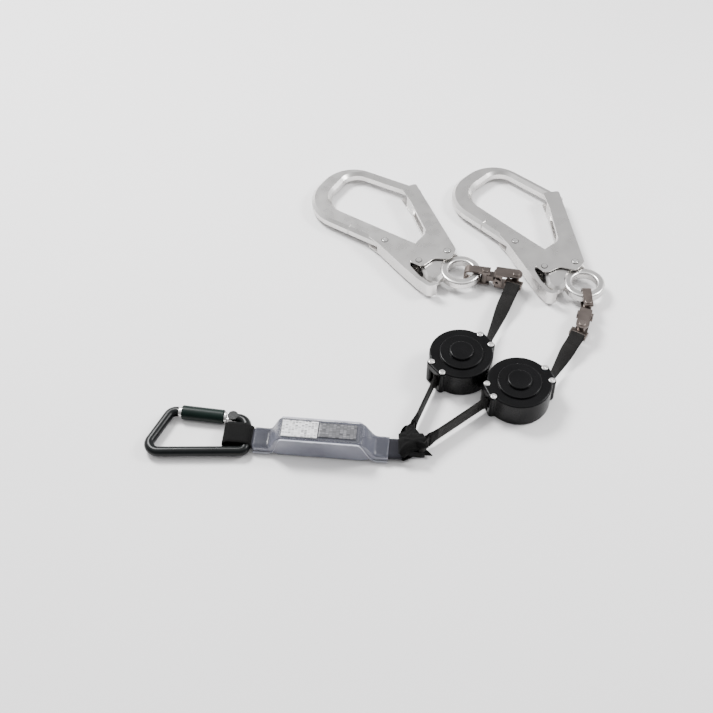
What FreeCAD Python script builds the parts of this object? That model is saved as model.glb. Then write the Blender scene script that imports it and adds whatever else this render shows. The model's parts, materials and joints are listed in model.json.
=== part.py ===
import FreeCAD, Part
import math
import os

from FreeCAD import Placement, Rotation, Vector

# A twin-leg self-retracting fall-arrest lanyard, laid out flat on a surface.
# Millimetres, +Z up, the surface is z = 0 and the origin is the middle of the plan box.
# From left to right: carabiner, shock absorber, two short legs, two retracting reels,
# and from each reel a webbing strap, a swivel connector and a large scaffold hook.

os.makedirs("parts", exist_ok=True)

# ---- layout: plan positions (x, y) and directions in degrees anticlockwise from +X ----
ORIGIN = (33.1, 77.8)
ABSORBER_AT = (-35.6, -123.4)
ABSORBER_TURN = -5.3
LEG_POSTS = {1: (55.0, -114.5), 2: (66.5, -129.0)}
REEL_AT = {1: (112.2, -20.1), 2: (171.0, -59.9)}
REEL_TURN = {1: 35.5, 2: 18.7}
SWIVEL_AT = {1: (182.5, 104.3), 2: (248.7, 28.3)}
BRACKET_TURN = {1: 169.3, 2: 71.8}
BAIL_TURN = {1: 169.6, 2: 89.3}
RING_REACH = {1: 28.4, 2: 34.0}
HOOK_TURN = {1: 146.9, 2: 133.9}

# ---- webbing ----
STRAP_WIDTH = 16.0
STRAP_THICK = 1.2
STRAP_Z = 13.0
LEG_WIDTH = 17.0
LEG_THICK = 2.4

# ---- reel ----
CASE_R = 34.4
CASE_H = 24.0
CASE_FLOOR = 2.0
CASE_CAVITY_R = 32.0
EAR_REACH = 37.7
EAR_HALF = 13.3
SCREW_AT = (33.2, 9.05)
SCREW_R = 1.6
COVER_H = 6.0
STEP_R = 23.5
BOSS_R = 13.0
ANCHOR_X = -32.4
ANCHOR_R = 2.4
ROLLER_AT = (33.5, 4.4)
ROLLER_R = 2.0
SHAFT_R = 3.5
DRUM_HUB_R = 8.0
DRUM_FLANGE_R = 26.4
COIL_R = 22.5
RATCHET_IN = 27.2
RATCHET_TEETH = 12
PAWL_PIVOT = 19.0
PAWL_ARM = 16.0
PAWL_LEAN = 82.9
RUN = 0.05

# ---- swivel connector, about the bracket rivet with +X towards the hook ----
CROSS_X = 21.0
RIVET_SPAN = 35.3
BRACKET_HALF = 7.0
BRACKET_TALL = 10.0
BRACKET_WALL = 1.6
BAIL_HALF = 5.0
BAIL_IN = 7.2
BAIL_OUT = 9.4
BAIL_REACH = 24.2
RIVET_R = 2.5
HOLDER_BAR_X = 10.5
HOLDER_BAR_R = 1.8

# ---- scaffold hook, about its ring with +X to the bend and +Y to the safety lever ----
RING_R = 23.2
RING_HOLE = 14.2
RING_Z = 13.0
RING_HALF = 5.2
RING_ROUND = 2.6
HOOK_HALF = 6.9
HOOK_BEVEL = 3.6
HOOK_SEAM_X = 147.0
HOOK_TILT = 1.2
LEVER_IN, LEVER_OUT = 7.1, 8.5
GATE_IN, GATE_OUT = 8.6, 9.9
LEVER_PIVOT = (98.0, 8.0)
GATE_PIVOT = (26.0, -14.0)
GATE_STUD = (46.0, 17.0)
PIN_R = 2.5

# ---- carabiner, bent from round bar ----
BAR_R = 5.2
BAR_Z = 7.5
SLEEVE_R = 7.5
CARABINER_TOP = (-114.5, -92.6)
CARABINER_END = (-114.5, -132.9)
CARABINER_BEND = (-219.5, -133.6)
CARABINER_NOSE = (-194.0, -81.0)
HINGE_FROM_TOP = 14.5
GATE_LENGTH = 58.8

# ---- shock absorber, along its own +X, about the middle of the pack ----
PACK_HALF = 42.0
PACK_DEEP = 13.5
PACK_TALL = 30.0
COVER_WALL = 0.8
TAIL_HALF = 13.7
TAIL_Z = (3.0, 12.0)
COVER_ENDS = (-70.2, 69.0)
LOOP_X = (-101.0, -72.0)
LOOP_Y = (-11.2, 14.0)
LOOP_HALF = 6.0


# ---- helpers ----
def cylinder(radius, z0, z1, at=(0, 0)):
    return Part.makeCylinder(radius, z1 - z0, Vector(at[0], at[1], z0))


def tube(outer, inner, z0, z1, at=(0, 0)):
    return cylinder(outer, z0, z1, at).cut(cylinder(inner, z0 - 1, z1 + 1, at))


def block(x0, x1, y0, y1, z0, z1):
    return Part.makeBox(x1 - x0, y1 - y0, z1 - z0, Vector(x0, y0, z0))


def bar_along_y(radius, y0, y1, x=0.0, z=0.0):
    return Part.makeCylinder(radius, y1 - y0, Vector(x, y0, z), Vector(0, 1, 0))


def rounded_edges(points, closed):
    """Lines between corners given as (x, y) or (x, y, radius), with an arc at each radius."""
    count = len(points)
    spots = [Vector(p[0], p[1], 0) for p in points]
    radii = [p[2] if len(p) > 2 else 0.0 for p in points]
    starts, ends, middles = [], [], []
    for i in range(count):
        spot, radius = spots[i], radii[i]
        is_end = not closed and i in (0, count - 1)
        if radius <= 0 or is_end:
            starts.append(spot)
            ends.append(spot)
            middles.append(None)
            continue
        back = (spots[i - 1] - spot).normalize()
        on = (spots[(i + 1) % count] - spot).normalize()
        half = back.getAngle(on) / 2
        bisector = (back + on).normalize()
        reach = radius / math.tan(half)
        centre = spot + bisector * (radius / math.sin(half))
        starts.append(spot + back * reach)
        ends.append(spot + on * reach)
        middles.append(centre - bisector * radius)
    edges = []
    for i in range(count):
        if middles[i] is not None:
            edges.append(Part.Arc(starts[i], middles[i], ends[i]).toShape())
        if not closed and i == count - 1:
            break
        after = starts[(i + 1) % count]
        if ends[i].distanceToPoint(after) > 1e-6:
            edges.append(Part.LineSegment(ends[i], after).toShape())
    return edges


def plate(points, z0, z1):
    face = Part.Face(Part.Wire(rounded_edges(points, True)))
    face.translate(Vector(0, 0, z0))
    return face.extrude(Vector(0, 0, z1 - z0))


def fused(shapes):
    whole = shapes[0]
    for shape in shapes[1:]:
        whole = whole.fuse(shape)
    return whole.removeSplitter()


def cut(shape, tools):
    for tool in tools:
        shape = shape.cut(tool)
    return shape


def round_bar(edges, radius):
    """A round bar bent along a row of lines and arcs."""
    runs = []
    for edge in edges:
        first, last = edge.ParameterRange
        start = edge.valueAt(first)
        disc = Part.Face(Part.Wire(Part.Circle(start, edge.tangentAt(first), radius).toShape()))
        if isinstance(edge.Curve, Part.Circle):
            bend = edge.Curve
            runs.append(disc.revolve(bend.Center, bend.Axis, math.degrees(last - first)))
        else:
            runs.append(disc.extrude(edge.valueAt(last) - start))
    return fused(runs)


def placed(shape, at, turn, z=0.0, tilt=0.0):
    """Tilts about +Y (positive lowers +X), turns about +Z and moves into the layout."""
    copy = shape.copy()
    turned = Rotation(Vector(0, 0, 1), turn).multiply(Rotation(Vector(0, 1, 0), tilt))
    copy.Placement = Placement(Vector(at[0], at[1], z), turned).multiply(copy.Placement)
    return copy


def save(name, shapes):
    whole = Part.Compound(shapes) if len(shapes) > 1 else shapes[0]
    moved = whole.copy()
    moved.translate(Vector(-ORIGIN[0], -ORIGIN[1], 0))
    moved.exportStep("parts/" + name + ".step")


def along(at, turn, distance, aside=0.0):
    c, s = math.cos(math.radians(turn)), math.sin(math.radians(turn))
    return (at[0] + c * distance - s * aside, at[1] + s * distance + c * aside)


def direction(start, end):
    return math.degrees(math.atan2(end[1] - start[1], end[0] - start[0]))


# ---- reel ----
def case_outline():
    body = cylinder(CASE_R, 0, 1)
    ears = plate(
        [
            (-EAR_REACH, -EAR_HALF, 3.5),
            (EAR_REACH, -EAR_HALF, 3.5),
            (EAR_REACH, EAR_HALF, 3.5),
            (-EAR_REACH, EAR_HALF, 3.5),
        ],
        0,
        1,
    )
    whole = body.fuse(ears).removeSplitter()
    notch_x = math.sqrt(CASE_R**2 - EAR_HALF**2)
    corners = []
    for edge in whole.Edges:
        middle = edge.CenterOfMass
        upright = abs(middle.z - 0.5) < 0.01
        at_notch = abs(abs(middle.x) - notch_x) < 0.1 and abs(abs(middle.y) - EAR_HALF) < 0.1
        if upright and at_notch:
            corners.append(edge)
    return whole.makeFillet(2.2, corners)


def case_prism(z0, z1):
    bottom = [f for f in case_outline().Faces if abs(f.CenterOfMass.z) < 0.001][0]
    face = bottom.copy()
    face.translate(Vector(0, 0, z0))
    return face.extrude(Vector(0, 0, z1 - z0))


def rim_edges(shape, z):
    return [e for e in shape.Edges if all(abs(v.Z - z) < 0.001 for v in e.Vertexes)]


def screw_places():
    x, y = SCREW_AT
    return [(sx * x, sy * y) for sx in (-1, 1) for sy in (-1, 1)]


def reel_base():
    solid = case_prism(0, CASE_H)
    solid = solid.makeFillet(1.6, rim_edges(solid, 0))
    cavity = cylinder(CASE_CAVITY_R, CASE_FLOOR, CASE_H + 1)
    cavity = cavity.cut(block(-40, -27.2, -40, 40, 0, CASE_H + 2))
    for place in screw_places():
        cavity = cavity.cut(cylinder(SCREW_R + 1.2, 0, CASE_H + 2, place))
    exit_way = block(27, 40, -6.7, 6.7, CASE_FLOOR, CASE_H + 1)
    anchor_slot = plate(
        [(-40, -9.0), (-36.0, -6.0), (-28.2, -6.0, 4), (-28.2, 6.0, 4), (-36.0, 6.0), (-40, 9.0)],
        3.6,
        22.4,
    )
    pin_bore = cylinder(ANCHOR_R, CASE_FLOOR, CASE_H + 1, (ANCHOR_X, 0))
    tools = [cavity, exit_way, anchor_slot, pin_bore]
    tools += [cylinder(SCREW_R, 8.0, CASE_H + 1, p) for p in screw_places()]
    return cut(solid, tools)


def reel_cover():
    top = CASE_H + COVER_H
    solid = case_prism(CASE_H, top)
    solid = solid.makeFillet(1.8, rim_edges(solid, top))
    step = cylinder(STEP_R, top - 1, top + 2.2)
    step = step.makeFillet(1.2, rim_edges(step, top + 2.2))
    boss = cylinder(BOSS_R, top, top + 5)
    boss = boss.makeFillet(1.6, rim_edges(boss, top + 5))
    solid = fused([solid, step, boss])
    seats = [cylinder(4.0, top - 1.6, top + 1, p) for p in screw_places()]
    holes = [cylinder(SCREW_R + 0.2, CASE_H - 1, top + 1, p) for p in screw_places()]
    hollow = [
        cylinder(CASE_CAVITY_R - 0.6, CASE_H - 1, CASE_H + 4.0).cut(
            block(-40, -27.2, -40, 40, 0, top)
        ),
        cylinder(STEP_R - 2.5, CASE_H, top),
        cylinder(BOSS_R - 2.0, CASE_H, top + 3),
    ]
    posts = [cylinder(SCREW_R + 1.2, CASE_H, top - 2, p) for p in screw_places()]
    hollow[0] = cut(hollow[0], posts)
    return cut(solid, hollow + seats + holes)


def reel_screw(place):
    seat = CASE_H + COVER_H - 1.6
    head = cylinder(3.4, seat, seat + 2.3, place)
    head = head.makeFillet(0.9, rim_edges(head, seat + 2.3))
    x, y = place
    cross = [
        block(x - 2, x + 2, y - 0.4, y + 0.4, seat + 1.4, seat + 3),
        block(x - 0.4, x + 0.4, y - 2, y + 2, seat + 1.4, seat + 3),
    ]
    shank = cylinder(SCREW_R, 8.0, seat + 0.5, place)
    return cut(head, cross).fuse(shank).removeSplitter()


def reel_drum():
    low, high = 3.9, 22.0
    bore = SHAFT_R + RUN
    hub = cylinder(DRUM_HUB_R, 2.5, 23.4)
    flanges = [cylinder(DRUM_FLANGE_R, 2.5, low), cylinder(DRUM_FLANGE_R, high, 23.4)]
    post = cylinder(2.0, 23.4, 26.8, (PAWL_PIVOT, 0))
    return fused([hub] + flanges + [post]).cut(cylinder(bore, 0, 40))


def spiral_spring():
    """A flat spring band wound round the shaft, as one spiral wall."""
    turns, inner, pitch, wall = 4.0, 4.4, 1.45, 0.5
    steps = 12 * int(turns)

    def point(i, offset):
        angle = 2 * math.pi * i / 12
        radius = inner + pitch * angle / (2 * math.pi) + offset
        return Vector(radius * math.cos(angle), radius * math.sin(angle), 24.2)

    near, far = Part.BSplineCurve(), Part.BSplineCurve()
    near.interpolate([point(i, 0) for i in range(steps + 1)])
    far.interpolate([point(i, wall) for i in range(steps + 1)])
    caps = [
        Part.LineSegment(point(0, 0), point(0, wall)).toShape(),
        Part.LineSegment(point(steps, 0), point(steps, wall)).toShape(),
    ]
    wire = Part.Wire(Part.__sortEdges__([near.toShape(), far.toShape()] + caps))
    return Part.Face(wire).extrude(Vector(0, 0, 8.0))


def ratchet_ring():
    ring = tube(CASE_CAVITY_R - 0.6, RATCHET_IN, CASE_H, CASE_H + 3.0)
    notches = []
    for n in range(RATCHET_TEETH):
        notch = plate([(26, -3.4), (30.0, -2.6), (30.0, 4.2), (26, 4.2)], 23, 28)
        notch.rotate(Vector(0, 0, 0), Vector(0, 0, 1), 32.0 + 360.0 * n / RATCHET_TEETH)
        notches.append(notch)
    ring = cut(ring, notches)
    posts = [cylinder(SCREW_R + 1.2, 20, 30, p) for p in screw_places()]
    return cut(ring, posts + [block(-40, -27.2, -40, 40, 20, 30)])


def pawl():
    lean = math.radians(PAWL_LEAN)
    tip = (PAWL_PIVOT + PAWL_ARM * math.cos(lean), PAWL_ARM * math.sin(lean))
    arm = plate(
        [
            (PAWL_PIVOT - 3.2, -1.0, 1),
            (PAWL_PIVOT + 3.4, -1.0, 1),
            (tip[0] + 0.2, tip[1] - 1.2),
            tip,
            (tip[0] - 3.0, tip[1] - 0.2, 0.6),
        ],
        23.6,
        26.4,
    )
    knuckle = cylinder(4.0, 23.6, 26.4, (PAWL_PIVOT, 0))
    return fused([arm, knuckle]).cut(cylinder(2.0 + RUN, 20, 30, (PAWL_PIVOT, 0)))


def reel(side):
    def put(name, shapes):
        save(f"reel_{side}_{name}", [placed(s, REEL_AT[side], REEL_TURN[side]) for s in shapes])

    x, y = ROLLER_AT
    put("base", [reel_base()])
    put("cover", [reel_cover()])
    put("screws", [reel_screw(p) for p in screw_places()])
    put("anchor_pin", [cylinder(ANCHOR_R, CASE_FLOOR, CASE_H, (ANCHOR_X, 0))])
    put("rollers", [cylinder(ROLLER_R, CASE_FLOOR, CASE_H, (x, s * y)) for s in (-1, 1)])
    put("drum", [reel_drum()])
    put("shaft", [cylinder(SHAFT_R, CASE_FLOOR, CASE_H + COVER_H + 2.6)])
    put("webbing_coil", [tube(COIL_R, DRUM_HUB_R, 4.4, 21.6)])
    put("spring", [spiral_spring()])
    put("ratchet", [ratchet_ring()])
    put("pawl", [pawl()])


# ---- straps and legs ----
def strip_section(at, turn, roll, half_width, half_thick, z):
    """A rectangle across a strip that runs towards turn; roll 0 is on edge, 90 is flat."""
    side = Vector(-math.sin(math.radians(turn)), math.cos(math.radians(turn)), 0)
    up = Vector(0, 0, 1)
    c, s = math.cos(math.radians(roll)), math.sin(math.radians(roll))
    wide = up * c + side * s
    thin = side * c - up * s
    centre = Vector(at[0], at[1], z)
    w, t = wide * half_width, thin * half_thick
    corners = [centre + w + t, centre + w - t, centre - w - t, centre - w + t]
    return Part.makePolygon(corners + corners[:1])


def retracting_strap(side):
    case, ear = REEL_AT[side], REEL_TURN[side]
    mouth = along(case, ear, ROLLER_AT[0])
    run_turn = direction(mouth, SWIVEL_AT[side])
    bar = along(SWIVEL_AT[side], run_turn + 180, HOLDER_BAR_X)
    run = math.hypot(bar[0] - mouth[0], bar[1] - mouth[1]) - HOLDER_BAR_R - 1.4
    lead = COIL_R + STRAP_THICK / 2
    tangent = math.degrees(math.acos(lead / ROLLER_AT[0]))
    leave = along(case, ear - tangent, lead)
    inner_turn = direction(leave, mouth)
    w, t = STRAP_WIDTH / 2, STRAP_THICK / 2
    sections = [
        strip_section(leave, inner_turn, 0, w, t, STRAP_Z),
        strip_section(mouth, (inner_turn + run_turn) / 2, 0, w, t, STRAP_Z),
    ]
    flat_from, flat_to, steps = 0.45, 0.85, 8
    for i in range(steps + 1):
        share = flat_from + (flat_to - flat_from) * i / steps
        spot = along(mouth, run_turn, run * share)
        sections.append(strip_section(spot, run_turn, 90.0 * i / steps, w, t, STRAP_Z))
    sections.append(strip_section(along(mouth, run_turn, run), run_turn, 90, w, t, STRAP_Z))
    strip = Part.makeLoft(sections, True, True)
    eye_in = HOLDER_BAR_R + 0.2
    eye = bar_along_y(eye_in + STRAP_THICK, -w, w).cut(bar_along_y(eye_in, -w - 1, w + 1))
    eye = placed(eye, bar, run_turn, STRAP_Z)
    save(f"strap_{side}", [fused([strip, eye])])


def leg(side):
    post = LEG_POSTS[side]
    pin = along(REEL_AT[side], REEL_TURN[side], ANCHOR_X)
    turn = direction(post, pin)
    length = math.hypot(pin[0] - post[0], pin[1] - post[1])
    low, high = STRAP_Z - LEG_WIDTH / 2, STRAP_Z + LEG_WIDTH / 2
    t = LEG_THICK / 2
    strip = block(4.2, length - 3.0, -t, t, low, high)
    eyes = [cylinder(5.0, low, high), cylinder(ANCHOR_R + 1.5, low, high, (length, 0))]
    bores = [
        cylinder(3.2 + RUN, low - 1, high + 1),
        cylinder(ANCHOR_R + RUN, low - 1, high + 1, (length, 0)),
    ]
    save(f"leg_{side}", [placed(cut(fused([strip] + eyes), bores), post, turn)])
    band = block(9.5, 20.5, -t - 1.2, t + 1.2, low - 1.0, high + 1.0)
    band = band.cut(block(9.0, 21.0, -t, t, low, high))
    save(f"keeper_{side}", [placed(band, post, turn)])


# ---- swivel connector ----
def bracket():
    outline = [
        (-BRACKET_HALF, -BRACKET_HALF, 6.5),
        (CROSS_X + 2.5, -BRACKET_HALF, 1.5),
        (CROSS_X + 2.5, BRACKET_HALF, 1.5),
        (-BRACKET_HALF, BRACKET_HALF, 6.5),
    ]
    solid = plate(outline, -BRACKET_TALL, BRACKET_TALL)
    gap = BRACKET_TALL - BRACKET_WALL
    inner = BRACKET_HALF - 1.7
    throat = block(-10, 15, -10, 10, -gap, gap)
    box = block(10, 30, -inner, inner, -gap, gap)
    rivet = cylinder(RIVET_R, -12, 12)
    cross = bar_along_y(RIVET_R + 0.5, -10, 10, CROSS_X)
    return cut(solid, [throat, box, rivet, cross])


def headed_rivet(radius, half, head_r, head_t):
    heads = []
    for sign in (-1, 1):
        z0, z1 = sorted((sign * half, sign * (half + head_t)))
        head = cylinder(head_r, z0, z1)
        heads.append(head.makeFillet(head_t * 0.6, rim_edges(head, sign * (half + head_t))))
    return fused([cylinder(radius, -half, half)] + heads)


def cross_rivet():
    """A hollow rivet across the bracket, its ends flared into raised rings."""
    outer, hole = RIVET_R + 0.5, 1.7
    solid = bar_along_y(outer, -BRACKET_HALF, BRACKET_HALF, CROSS_X)
    for sign in (-1, 1):
        y0, y1 = sorted((sign * BRACKET_HALF, sign * (BRACKET_HALF + 2.0)))
        solid = solid.fuse(bar_along_y(outer + 1.7, y0, y1, CROSS_X))
    return solid.removeSplitter().cut(bar_along_y(hole, -12, 12, CROSS_X))


def link():
    barrel = bar_along_y(5.5, -4.9, 4.9, CROSS_X)
    neck = block(CROSS_X, RIVET_SPAN, -4.2, 4.2, -4.0, 4.0)
    eye = cylinder(4.9, -BAIL_IN + 0.1, BAIL_IN - 0.1, (RIVET_SPAN, 0))
    solid = fused([barrel, neck, eye])
    cross = bar_along_y(RIVET_R + 0.5 + RUN, -10, 10, CROSS_X)
    return cut(solid, [cross, cylinder(RIVET_R + RUN, -12, 12, (RIVET_SPAN, 0))])


def bail():
    """A steel strip folded into a U, its arms above and below the ring."""
    bow = 4.0
    side = [
        (-5.8, BAIL_OUT),
        (BAIL_REACH, BAIL_OUT, bow + 2.2),
        (BAIL_REACH, -BAIL_OUT, bow + 2.2),
        (-5.8, -BAIL_OUT),
        (-5.8, -BAIL_IN),
        (BAIL_REACH - 2.2, -BAIL_IN, bow),
        (BAIL_REACH - 2.2, BAIL_IN, bow),
        (-5.8, BAIL_IN),
    ]
    solid = plate(side, -BAIL_HALF, BAIL_HALF)
    solid.rotate(Vector(0, 0, 0), Vector(1, 0, 0), 90)
    return solid.cut(cylinder(RIVET_R, -12, 12))


def strap_holder():
    """A barrel on the bracket rivet with a frame whose round bar carries the strap's eye."""
    barrel = cylinder(4.2, -7.5, 7.5)
    back = block(2.5, 5.6, -9.8, 9.8, -2.2, 2.2)
    arms = [
        plate([(3, y0), (12.8, y0, 1.2), (12.8, y0 + 1.6, 0.3), (3, y0 + 1.6)], -2.2, 2.2)
        for y0 in (-9.8, 8.2)
    ]
    rod = bar_along_y(HOLDER_BAR_R, -9.0, 9.0, HOLDER_BAR_X)
    return fused([barrel, back] + arms + [rod]).cut(cylinder(RIVET_R + RUN, -12, 12))


def connector(side):
    at, turn = SWIVEL_AT[side], BRACKET_TURN[side]
    mouth = along(REEL_AT[side], REEL_TURN[side], ROLLER_AT[0])
    bail_at = along(at, turn, RIVET_SPAN)

    def put(name, shape, spot, angle):
        save(f"connector_{side}_{name}", [placed(shape, spot, angle, STRAP_Z)])

    put("holder", strap_holder(), at, direction(at, mouth))
    put("bracket", bracket(), at, turn)
    put("bracket_rivet", headed_rivet(RIVET_R, BRACKET_TALL, 4.0, 1.0), at, turn)
    put("cross_rivet", cross_rivet(), at, turn)
    put("link", link(), at, turn)
    put("bail", bail(), bail_at, BAIL_TURN[side])
    put("bail_rivet", headed_rivet(RIVET_R, BAIL_OUT, 3.8, 0.9), bail_at, BAIL_TURN[side])


# ---- scaffold hook ----
def hook_body():
    outline = [
        (108, -95.5, 5),
        (221.5, -86, 44),
        (221.5, 12.5, 47),
        (56, 12.5, 10),
        (47, 11, 3),
        (42, 20, 5),
        (27, 33.5, 6),
        (12.5, 33, 8),
        (11, 14, 3),
        (0, 8),
        (0, -10),
        (20, -23, 8),
        (36, -21, 8),
        (48, -10.5, 12),
        (200, -10.5, 28),
        (200, -77, 20),
        (108, -84.5, 5),
    ]
    arm = plate(outline, -HOOK_HALF, HOOK_HALF)
    rims = rim_edges(arm, HOOK_HALF) + rim_edges(arm, -HOOK_HALF)
    arm = arm.makeChamfer(HOOK_BEVEL, rims)
    eye = cylinder(RING_R, -RING_HALF, RING_HALF)
    arm = arm.cut(cylinder(RING_R, -9, 9))
    eye = eye.cut(cylinder(RING_HOLE, -9, 9))
    eye = eye.makeFillet(RING_ROUND, rim_edges(eye, RING_HALF) + rim_edges(eye, -RING_HALF))
    neck = block(16, 26, -12, 10, -RING_HALF + 0.6, RING_HALF - 0.6)
    arm = fused([arm, eye, neck.cut(cylinder(RING_HOLE + 3, -9, 9))])
    pins = [cylinder(PIN_R, -9, 9, LEVER_PIVOT), cylinder(PIN_R, -9, 9, GATE_PIVOT)]
    seam = block(HOOK_SEAM_X - 0.6, HOOK_SEAM_X + 0.6, 4, 20, -9, 9)
    core = block(HOOK_SEAM_X - 1, HOOK_SEAM_X + 1, 4, 11.4, -HOOK_HALF + 0.9, HOOK_HALF - 0.9)
    return cut(arm, pins + [seam.cut(core)])


def lever_outline():
    return [
        (121, 3, 5),
        (118, 13, 3),
        (100, 17.5, 20),
        (58, 33.5, 60),
        (32, 42.5, 40),
        (14, 46, 8),
        (9, 37, 1.8),
        (12, 35, 1.2),
        (17, 40.3, 3),
        (34, 36.5, 12),
        (52, 28, 8),
        (57, 6, 10),
        (62, -6, 5),
        (110, -4, 9),
    ]


def hook_lever():
    """The grip lever: two side plates and an outer web, over the foot of the stem."""
    full = plate(lever_outline(), -LEVER_OUT, LEVER_OUT)
    core = [
        (130, 0),
        (106, 13.2),
        (99, 15.6, 20),
        (57, 31.6, 60),
        (31.5, 40.6, 40),
        (14.5, 44, 6),
        (9, 34),
        (0, 20),
        (40, -20),
        (130, -20),
    ]
    hollow = plate(core, -LEVER_IN, LEVER_IN)
    stem_room = block(103, 130, -20, 20, -LEVER_IN, LEVER_IN)
    bore = cylinder(PIN_R + RUN, -12, 12, LEVER_PIVOT)
    return cut(full, [hollow, stem_room, bore])


def gate_outline():
    return [
        (118, -95, 3),
        (18, -21, 9),
        (16, -4, 7),
        (33, 5, 9),
        (38, 24.5, 6.5),
        (54, 24.5, 7),
        (64, -6, 12),
        (62, -28, 8),
        (106, -64, 5),
        (129, -79, 2),
    ]


def hook_gate():
    """The gate: two side plates joined along the inner edge by a web with a long window."""
    plates = [
        plate(gate_outline(), GATE_IN, GATE_OUT),
        plate(gate_outline(), -GATE_OUT, -GATE_IN),
    ]
    web = plate([(64, -33.5), (66, -31.2), (106, -64), (104, -66.2)], -GATE_IN, GATE_IN)
    window = plate([(70, -42), (74, -30), (100, -52), (98, -66)], -5.4, 5.4)
    tongue = plate([(104, -66.2), (106, -64), (116, -71), (114, -74)], -GATE_IN, GATE_IN)
    studs = []
    for z0, z1 in ((GATE_OUT, GATE_OUT + 0.7), (-GATE_OUT - 0.7, -GATE_OUT)):
        studs.append(cylinder(3.2, z0, z1, GATE_STUD))
    solid = fused(plates + [cut(web, [window]), tongue] + studs)
    return solid.cut(cylinder(PIN_R + RUN, -12, 12, GATE_PIVOT))


def hook_pins():
    lever_pin = headed_rivet(PIN_R, LEVER_OUT + 0.1, 3.4, 0.7)
    gate_pin = headed_rivet(PIN_R, GATE_OUT + 0.1, 3.6, 0.8)
    lever_pin.translate(Vector(LEVER_PIVOT[0], LEVER_PIVOT[1], 0))
    gate_pin.translate(Vector(GATE_PIVOT[0], GATE_PIVOT[1], 0))
    return [lever_pin, gate_pin]


def hook(side):
    bail_at = along(SWIVEL_AT[side], BRACKET_TURN[side], RIVET_SPAN)
    ring_at = along(bail_at, BAIL_TURN[side], RING_REACH[side])

    def put(name, shapes):
        turned = [placed(s, ring_at, HOOK_TURN[side], RING_Z, HOOK_TILT) for s in shapes]
        save(f"hook_{side}_{name}", turned)

    put("body", [hook_body()])
    put("gate", [hook_gate()])
    put("lever", [hook_lever()])
    put("pins", hook_pins())


# ---- carabiner ----
def carabiner_points():
    """The hinge and the nose gap, both on the gate's line, and that line's direction."""
    turn = direction(CARABINER_TOP, CARABINER_NOSE)
    hinge = along(CARABINER_TOP, turn, HINGE_FROM_TOP)
    gap = along(hinge, turn, GATE_LENGTH)
    return hinge, gap, turn


def carabiner_body():
    hinge, gap, turn = carabiner_points()
    path_points = [
        gap,
        CARABINER_NOSE + (8.5,),
        CARABINER_BEND + (10.3,),
        CARABINER_END + (5.5,),
        CARABINER_TOP + (10.0,),
        hinge,
    ]
    bar = round_bar(rounded_edges(path_points, False), BAR_R)
    bar = bar.fuse(cylinder(BAR_R + 0.3, -BAR_R, BAR_R, hinge))
    fork = cylinder(6.6, -2.6, 2.6, hinge).fuse(placed(block(0, 9, -7, 7, -2.6, 2.6), hinge, turn))
    slot = placed(block(-1, 6, -7, 7, -1.6, 1.6), gap, turn)
    return cut(bar, [fork, slot, cylinder(1.8, -9, 9, hinge)])


def carabiner_gate():
    """Built along its own +X from the hinge: knuckle, core, end collars and nose tongue."""
    end = GATE_LENGTH - 0.8
    knuckle = cylinder(5.0, -2.5, 2.5)
    neck = block(0, 8, -4.0, 4.0, -2.5, 2.5)
    core = Part.makeCylinder(4.2, end - 7.0, Vector(7.0, 0, 0), Vector(1, 0, 0))
    collars = [
        Part.makeCylinder(BAR_R + 0.4, 2.2, Vector(x, 0, 0), Vector(1, 0, 0))
        for x in (7.0, end - 3.4)
    ]
    tongue = block(end - 1, end + 3.8, -2.2, 2.2, -1.2, 1.2)
    return fused([knuckle, neck, core, tongue] + collars).cut(cylinder(1.8 + RUN, -9, 9))


def carabiner_sleeve():
    start, end = 9.4, GATE_LENGTH - 4.4
    solid = Part.makeCylinder(SLEEVE_R, end - start, Vector(start, 0, 0), Vector(1, 0, 0))
    ends = [e for e in solid.Edges if isinstance(e.Curve, Part.Circle)]
    solid = solid.makeFillet(1.0, ends)
    return solid.cut(Part.makeCylinder(4.2 + RUN, 80, Vector(0, 0, 0), Vector(1, 0, 0)))


def carabiner():
    hinge, gap, turn = carabiner_points()
    pin = cylinder(1.8, -BAR_R, BAR_R, hinge)
    save("carabiner_body", [placed(carabiner_body(), (0, 0), 0, BAR_Z)])
    save("carabiner_pin", [placed(pin, (0, 0), 0, BAR_Z)])
    save("carabiner_gate", [placed(carabiner_gate(), hinge, turn, BAR_Z)])
    save("carabiner_sleeve", [placed(carabiner_sleeve(), hinge, turn, BAR_Z)])


# ---- shock absorber ----
def box_section(x, half, z0, z1):
    corners = [(-half, z0), (half, z0), (half, z1), (-half, z1), (-half, z0)]
    return Part.makePolygon([Vector(x, y, z) for y, z in corners])


def absorber_skin(inset, ends):
    """The pack with its sloping shoulders and flat tails, drawn in by the inset."""
    deep, tail = PACK_DEEP - inset, TAIL_HALF - inset
    low, high = TAIL_Z[0] + inset, TAIL_Z[1] - inset
    sections = [
        box_section(ends[0], tail, low, high),
        box_section(-54, tail, low, high),
        box_section(-PACK_HALF, deep, inset, PACK_TALL - inset),
        box_section(PACK_HALF, deep, inset, PACK_TALL - inset),
        box_section(52, tail, low, high),
        box_section(ends[1], tail, low, high),
    ]
    return Part.makeLoft(sections, True, True)


def in_side_view(points, y0, y1):
    """An outline drawn in x and z, carried across from y0 to y1."""
    solid = plate(points, -y1, -y0)
    solid.rotate(Vector(0, 0, 0), Vector(1, 0, 0), 90)
    return solid


def loop_profile(grow):
    low, high = BAR_Z - LOOP_HALF - grow, BAR_Z + LOOP_HALF + grow
    left = LOOP_X[0] - grow
    nose = LOOP_HALF + grow - 0.3
    return [
        (left, low, nose),
        (LOOP_X[1] - 5, low, 4),
        (LOOP_X[1] + grow, BAR_Z - 2 - grow),
        (LOOP_X[1] + grow, BAR_Z + 2 + grow),
        (LOOP_X[1] - 5, high, 4),
        (left, high, nose),
    ]


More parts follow.
